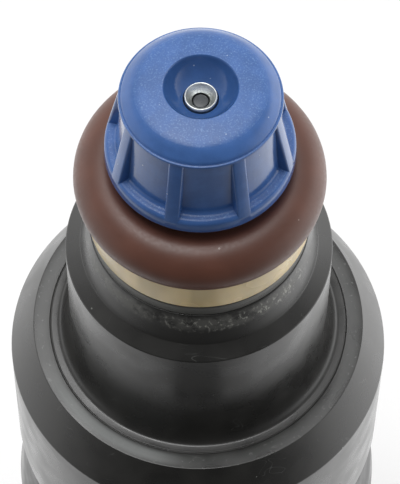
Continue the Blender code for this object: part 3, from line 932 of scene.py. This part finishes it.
def make_connector_body(sizes):
    """Satin moulding: flared rim, waist, spine, hollow tower with latch ramps, and clip groove."""
    outline = rounded(
        [
            (4.7, -12.65),
            (11.25, -12.65, 0.15),
            (12.15, -20.9, 0.8),
            (12.0, -22.3, 0.9),
            (9.9, -24.0, 1.0),
            (8.0, -24.7, 0.8),
            (8.0, -36.2, 0.5),
            (7.8, -38.0, 0.3),
            (6.2, -38.0, 0.2),
            (6.2, -40.2, 0.2),
            (7.0, -40.2, 0.3),
            (7.0, -42.6, 0.3),
            (4.7, -42.6, 0.1),
        ]
    )
    place = connector_frame(sizes)
    half_x, half_z, wall, mouth = 7.3, 4.2, 1.3, 23.6
    outer_x, outer_z = half_x + wall, half_z + wall
    tower = block((-outer_x, -mouth, -outer_z), (outer_x, -1.5, outer_z), place, 0.45)
    spine = block((-6.6, -10.2, -36.0), (6.6, -5.0, -23.0), Matrix(), 1.2)
    socket = block((-half_x, -mouth - 2, -half_z), (half_x, -mouth + 12.8, half_z), place, 0.6)
    steps = [("UNION", tower), ("UNION", spine)]
    for side in (-1, 1):
        for face in (-1, 1):
            near, far = sorted((side * (outer_x - 0.4), side * (outer_x + 0.9)))
            low = (near, -mouth + 3.0, face * 2.6 - 0.6)
            high = (far, -mouth + 9.5, face * 2.6 + 0.6)
            steps.append(("UNION", block(low, high, place, 0.25)))
    steps.append(("DIFFERENCE", socket))
    return combined(spun(outline, sizes.turn_steps), steps)


def make_inlet(sizes):
    """Pole core, yoke plate and inlet tube, with the groove for the rail seal."""
    outline = rounded(
        [
            (4.4, -8.2, 0.1),
            (4.4, -10.7),
            (10.0, -10.7, 0.1),
            (10.0, -12.0, 0.1),
            (4.4, -12.0),
            (4.4, -42.4),
            (3.5, -42.4, 0.15),
            (3.5, -46.965, 0.25),
            (5.9, -46.965, 0.2),
            (5.9, -48.265, 0.25),
            (4.65, -50.5, 0.25),
            (4.3, -50.6, 0.1),
            (2.95, -50.6, 0.15),
            (2.8, -50.2),
            (2.8, -38.5),
            (2.15, -38.5),
            (2.15, -8.2),
        ]
    )
    return spun(outline, sizes.turn_steps)


def make_filter_collar(sizes):
    """Rolled brass collar that holds the filter in the inlet."""
    outline = rounded(
        [
            (2.62, -48.4, 0.1),
            (2.62, -50.1, 0.12),
            (2.35, -50.3, 0.1),
            (2.1, -50.1, 0.1),
            (2.1, -48.4, 0.1),
        ]
    )
    return spun(outline, sizes.turn_steps // 2)


def make_terminal(sizes, side):
    """A stamped blade: up beside the tube to the coil, and out along the tower to a coined tip."""
    pitch, half_wide, half_thick, length = 5.0, 1.4, 0.4, 18.0
    x = side * pitch / 2
    place = connector_frame(sizes)
    low, high = (x - half_wide, -length, -half_thick), (x + half_wide, half_thick, half_thick)
    blade = block(low, high)
    tip = [v for v in blade.verts if v.co.y < -(length - 0.1) * MM]
    bmesh.ops.scale(blade, vec=(0.99, 1.0, 1.0), verts=blade.verts)
    end = [f for f in blade.faces if all(v in tip for v in f.verts)]
    face = bmesh.ops.extrude_face_region(blade, geom=end)
    fresh = [g for g in face["geom"] if isinstance(g, bmesh.types.BMVert)]
    bmesh.ops.translate(blade, vec=(0, 1.4 * MM, 0), verts=tip)
    for vert in fresh:
        vert.co.z *= 0.35
        vert.co.x = x * MM + (vert.co.x - x * MM) * 0.78
    bmesh.ops.transform(blade, matrix=in_metres(place), verts=blade.verts)
    riser_top = -10.65
    low = (x - half_wide, TOWER_Y - half_thick, TOWER_Z)
    high = (x + half_wide, TOWER_Y + half_thick, riser_top)
    riser = block(low, high)
    return combined(blade, [("UNION", riser)])


def in_metres(place):
    """A placement in millimetres as one in metres."""
    moved = place.copy()
    moved.translation = place.translation * MM
    return moved


# ---------------------------------------------------------------- operators


def settings():
    """The sizes, the colours and the studio of the scene."""
    scene = bpy.context.scene
    return scene.injector_sizes, scene.injector_colours, scene.injector_studio


class INJECTOR_OT_cap(bpy.types.Operator):
    """Make the blue pintle cap"""

    bl_idname = "injector.cap"
    bl_label = "Pintle cap"

    def execute(self, context):
        sizes, colours, _ = settings()
        finish = blue_nylon(colours.cap)
        add_piece("blue_pintle_cap", make_pintle_cap(sizes), finish, "pintle_cap")
        return {"FINISHED"}


class INJECTOR_OT_nozzle(bpy.types.Operator):
    """Make the nozzle body and the needle that moves in it"""

    bl_idname = "injector.nozzle"
    bl_label = "Nozzle and needle"

    def execute(self, context):
        sizes, _, _ = settings()
        add_piece("ground_nozzle", make_nozzle_body(sizes), nozzle_steel(), "nozzle_body")
        needle = make_needle(sizes)
        add_piece("pintle", needle, pintle_steel(), "pintle_needle", NEEDLE_BODY)
        return {"FINISHED"}


class INJECTOR_OT_seals(bpy.types.Operator):
    """Make both seal rings and the backing ring"""

    bl_idname = "injector.seals"
    bl_label = "Seals"

    def execute(self, context):
        sizes, colours, _ = settings()
        rubber = brown_rubber(colours.seal)
        lower, upper = make_seal(sizes, LOWER_SEAL_Z), make_seal(sizes, UPPER_SEAL_Z)
        add_piece("manifold_seal", lower, rubber, "lower_o_ring")
        add_piece("rail_seal", upper, rubber, "upper_o_ring")
        nylon = natural_nylon(colours.backing)
        add_piece("seal_backing", make_backing_ring(sizes), nylon, "backing_ring")
        return {"FINISHED"}


class INJECTOR_OT_housing(bpy.types.Operator):
    """Make the black steel shell"""

    bl_idname = "injector.housing"
    bl_label = "Steel shell"

    def execute(self, context):
        sizes, colours, _ = settings()
        finish = black_steel(colours.shell)
        add_piece("steel_shell", make_housing(sizes), finish, "valve_housing")
        return {"FINISHED"}


class INJECTOR_OT_moulding(bpy.types.Operator):
    """Make the black moulding and its connector"""

    bl_idname = "injector.moulding"
    bl_label = "Moulded body"

    def execute(self, context):
        sizes, colours, _ = settings()
        body, finish = make_connector_body(sizes), black_nylon(colours.moulding)
        add_piece("moulded_body", body, finish, "connector_body")
        return {"FINISHED"}


class INJECTOR_OT_terminals(bpy.types.Operator):
    """Make the two tinned blades"""

    bl_idname = "injector.terminals"
    bl_label = "Terminals"

    def execute(self, context):
        sizes, _, _ = settings()
        tin = ground_steel("tinned_brass", (0.66, 0.64, 0.58), low_rough=0.25, high_rough=0.4)
        for side, word in ((-1, "left"), (1, "right")):
            blade = make_terminal(sizes, side)
            add_piece(f"{word}_blade", blade, tin, f"terminal_{word}")
        return {"FINISHED"}


class INJECTOR_OT_inlet(bpy.types.Operator):
    """Make the inlet tube and the filter's collar"""

    bl_idname = "injector.inlet"
    bl_label = "Inlet"

    def execute(self, context):
        sizes, _, _ = settings()
        steel = ground_steel("inlet_steel", (0.5, 0.5, 0.49), low_rough=0.22, high_rough=0.38)
        add_piece("inlet_tube", make_inlet(sizes), steel, "pole_core_tube")
        brass = ground_steel("collar_brass", (0.62, 0.42, 0.14), low_rough=0.2, high_rough=0.34)
        add_piece("filter_rim", make_filter_collar(sizes), brass, "filter_collar")
        return {"FINISHED"}


class INJECTOR_OT_inner_pieces(bpy.types.Operator):
    """Give finishes to the pieces inside, which keep the shapes they have"""

    bl_idname = "injector.inner_pieces"
    bl_label = "Inner pieces"

    def execute(self, context):
        steel = ground_steel("core_steel", (0.48, 0.48, 0.47), low_rough=0.25, high_rough=0.4)
        for node in ("armature", "lift_stop_plate", "return_spring"):
            repaint(node, steel)
        rubber = bpy.data.materials["brown_rubber"]
        for node in ("nozzle_seal", "front_coil_seal", "rear_coil_seal"):
            repaint(node, rubber)
        bobbin = natural_nylon((0.5, 0.46, 0.36), "bobbin_nylon")
        for node in ("coil_bobbin", "filter_cage"):
            repaint(node, bobbin)
        repaint("coil_winding", wound_copper())
        repaint("filter_mesh", woven_wire())
        repaint("spring_adjuster", bpy.data.materials["collar_brass"])
        return {"FINISHED"}


class INJECTOR_OT_stage(bpy.types.Operator):
    """Make the floor, the lights and the camera"""

    bl_idname = "injector.stage"
    bl_label = "Studio"

    def execute(self, context):
        _, _, studio = settings()
        make_floor()
        make_lights(studio)
        make_camera(studio)
        return {"FINISHED"}


# ---------------------------------------------------------------- studio


def make_floor():
    """A round floor under the part, kept out of its reflections."""
    bm = bmesh.new()
    bmesh.ops.create_circle(bm, cap_ends=True, segments=96, radius=1.5)
    bmesh.ops.translate(bm, vec=(0, 0, CAD_BOX[0][2]), verts=bm.verts)
    floor = helper_object(bm, "studio_floor")
    floor.data.materials.append(pale_floor())
    floor.visible_diffuse = floor.visible_glossy = floor.visible_shadow = False


def add_softbox(name, azimuth, elevation, distance, side, power):
    """A square light that looks at the injector. Azimuth runs from -Y towards +X."""
    light = bpy.data.lights.new(name, "AREA")
    light.shape = "SQUARE"
    light.size = side
    light.energy = power
    turn, rise = math.radians(azimuth), math.radians(elevation)
    level = math.cos(rise)
    away = Vector((math.sin(turn) * level, -math.cos(turn) * level, math.sin(rise)))
    obj = bpy.data.objects.new(name, light)
    obj.location = away * distance
    obj.rotation_euler = away.to_track_quat("Z", "Y").to_euler()
    bpy.context.scene.collection.objects.link(obj)


# Surrounding light by direction: (share of the way from +Y to -Y, light).
ROUND_LIGHT = [
    (0.0, 1.1),
    (0.27, 1.5),
    (0.5, 1.15),
    (0.65, 0.85),
    (0.75, 0.45),
    (0.84, 0.2),
    (1.0, 0.09),
]


def make_lights(studio):
    """A dim front between two bright sides and a bright back, under one overhead softbox."""
    world = bpy.data.worlds.new("studio")
    world.use_nodes = True
    bpy.context.scene.world = world
    bench = Bench(world.node_tree)
    x, y, z = bench.parts(bench.node("ShaderNodeTexCoord").outputs["Generated"])
    ramp = bench.node("ShaderNodeValToRGB")
    bench.put(ramp.inputs[0], bench.remap(y, 1.0, -1.0, kind="LINEAR"))
    for place, _ in ROUND_LIGHT[1:-1]:
        ramp.color_ramp.elements.new(place)
    for element, (_, light) in zip(ramp.color_ramp.elements, ROUND_LIGHT):
        element.color = shade((light, light, light), 0.5)
    # The ramp holds half of each light, so that its colours stay under 1.
    around = bench.math("MULTIPLY", ramp.outputs[0], bench.remap(x, 0.3, 0.95, 2.0, 3.2))
    above = bench.math("MULTIPLY", bench.remap(y, -0.9, 0.6, 0.3, 1.45), studio.upper)
    light = bench.blend(bench.remap(z, 0.15, 0.6), around, above)
    background = world.node_tree.nodes["Background"]
    bench.put(background.inputs["Color"], light)
    background.inputs["Strength"].default_value = studio.fill
    add_softbox(
        "top_softbox",
        azimuth=-135,
        elevation=82,
        distance=0.6,
        side=0.37,
        power=studio.softbox,
    )


def make_camera(studio):
    """A long lens that looks down on the nozzle."""
    rise = math.radians(studio.elevation)
    target = Vector((0, 0, studio.target_height))
    away = Vector((0, -math.cos(rise), math.sin(rise)))
    data = bpy.data.cameras.new("studio_camera")
    data.lens = studio.lens
    data.sensor_width = 36.0
    data.shift_x = studio.shift
    data.clip_start = 0.01
    camera = bpy.data.objects.new("studio_camera", data)
    camera.location = target + away * studio.distance
    facing = away.to_track_quat("Z", "Y").to_matrix()
    camera.rotation_euler = (facing @ Matrix.Rotation(math.radians(studio.roll), 3, "Z")).to_euler()
    bpy.context.scene.collection.objects.link(camera)
    bpy.context.scene.camera = camera
    bpy.context.scene.view_settings.view_transform = "Standard"


# ---------------------------------------------------------------- add-on


PIECE_OPERATORS = (
    INJECTOR_OT_cap,
    INJECTOR_OT_nozzle,
    INJECTOR_OT_seals,
    INJECTOR_OT_housing,
    INJECTOR_OT_moulding,
    INJECTOR_OT_terminals,
    INJECTOR_OT_inlet,
    INJECTOR_OT_inner_pieces,
    INJECTOR_OT_stage,
)


class INJECTOR_PT_panel(bpy.types.Panel):
    """The sidebar panel, with the sizes and colours and a button for each operator"""

    bl_label = "Fuel injector"
    bl_idname = "INJECTOR_PT_panel"
    bl_space_type = "VIEW_3D"
    bl_region_type = "UI"
    bl_category = "Injector"

    def draw(self, context):
        for group in settings():
            for name in group.bl_rna.properties.keys():
                if name not in ("rna_type", "name"):
                    self.layout.prop(group, name)
        for operator in PIECE_OPERATORS:
            self.layout.operator(operator.bl_idname)


CLASSES = (InjectorSizes, InjectorColours, InjectorStudio, *PIECE_OPERATORS, INJECTOR_PT_panel)


def register():
    for cls in CLASSES:
        bpy.utils.register_class(cls)
    bpy.types.Scene.injector_sizes = PointerProperty(type=InjectorSizes)
    bpy.types.Scene.injector_colours = PointerProperty(type=InjectorColours)
    bpy.types.Scene.injector_studio = PointerProperty(type=InjectorStudio)


def unregister():
    del bpy.types.Scene.injector_studio
    del bpy.types.Scene.injector_colours
    del bpy.types.Scene.injector_sizes
    for cls in reversed(CLASSES):
        bpy.utils.unregister_class(cls)


def main():
    register()
    bpy.ops.injector.cap()
    bpy.ops.injector.nozzle()
    bpy.ops.injector.seals()
    bpy.ops.injector.housing()
    bpy.ops.injector.moulding()
    bpy.ops.injector.terminals()
    bpy.ops.injector.inlet()
    bpy.ops.injector.inner_pieces()
    bpy.ops.injector.stage()


if __name__ == "__main__":
    main()
